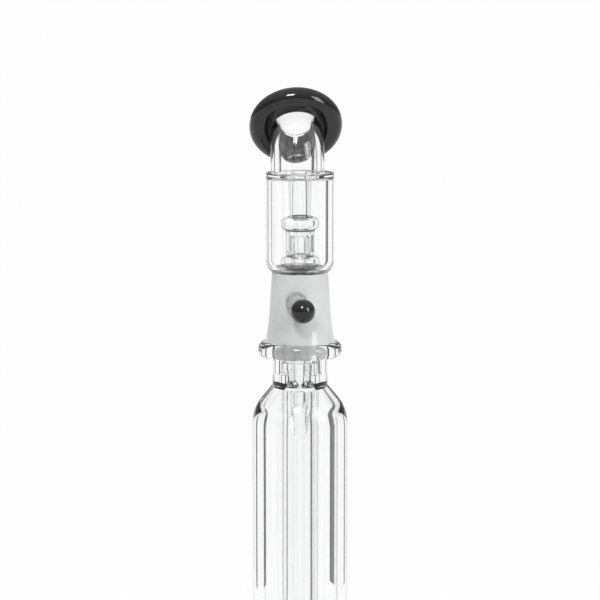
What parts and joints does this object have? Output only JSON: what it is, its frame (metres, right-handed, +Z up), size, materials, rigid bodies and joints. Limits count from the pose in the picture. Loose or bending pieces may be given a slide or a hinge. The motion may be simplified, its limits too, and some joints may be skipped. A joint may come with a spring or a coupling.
{
  "type": "glass water pipe",
  "caption": "Clear glass water pipe in two units on a ground neck joint, with an inner percolator chamber, black mouthpiece ring, pull-out downstem and bowl.",
  "frame": {"origin": "centre of the foot's flat underside", "axes": "+Z up along the body tube, +Y towards the mouthpiece, -Y towards the stem and bowl, +X completes the set"},
  "size_m": [0.092, 0.1377, 0.4008],
  "materials": {
    "clear_glass": "polished clear borosilicate",
    "frosted_glass": "ground frosted",
    "black_glass": "glossy opaque black glass"
  },
  "bodies": {
    "lower_unit": {"base_foot": "clear_glass", "body_shell": "clear_glass", "neck_sleeve": "clear_glass", "joint_cone": "frosted_glass", "ring_seal": "clear_glass", "inner_tube": "clear_glass", "stem_branch": "clear_glass", "stem_socket": "frosted_glass", "stem_rim": "clear_glass"},
    "neck_unit": {"joint_rim": "clear_glass", "joint_socket": "frosted_glass", "grip_stud": "clear_glass", "grip_bead": "black_glass", "chamber_shell": "clear_glass", "riser_tube": "clear_glass", "riser_foot": "clear_glass", "perc_cage": "clear_glass", "outlet_bead": "clear_glass", "outlet_tube": "clear_glass", "mouthpiece_tube": "clear_glass", "mouthpiece_lip": "black_glass"},
    "downstem": {"downstem_cone": "frosted_glass", "downstem_tube": "clear_glass"},
    "bowl": {"bowl_cone": "frosted_glass", "bowl_cup": "clear_glass", "bowl_stud": "clear_glass", "bowl_bead": "black_glass"}
  },
  "joints": [
    {"name": "neck_lift", "type": "slide", "parent": "lower_unit", "child": "neck_unit", "axis": [0, 0, 1], "range_m": [0, 0.1]},
    {"name": "downstem_pull", "type": "slide", "parent": "lower_unit", "child": "downstem", "axis": [0, -0.7071, 0.7071], "range_m": [0, 0.11]},
    {"name": "bowl_pull", "type": "slide", "parent": "downstem", "child": "bowl", "axis": [0, -0.7071, 0.7071], "range_m": [0, 0.04]}
  ]
}
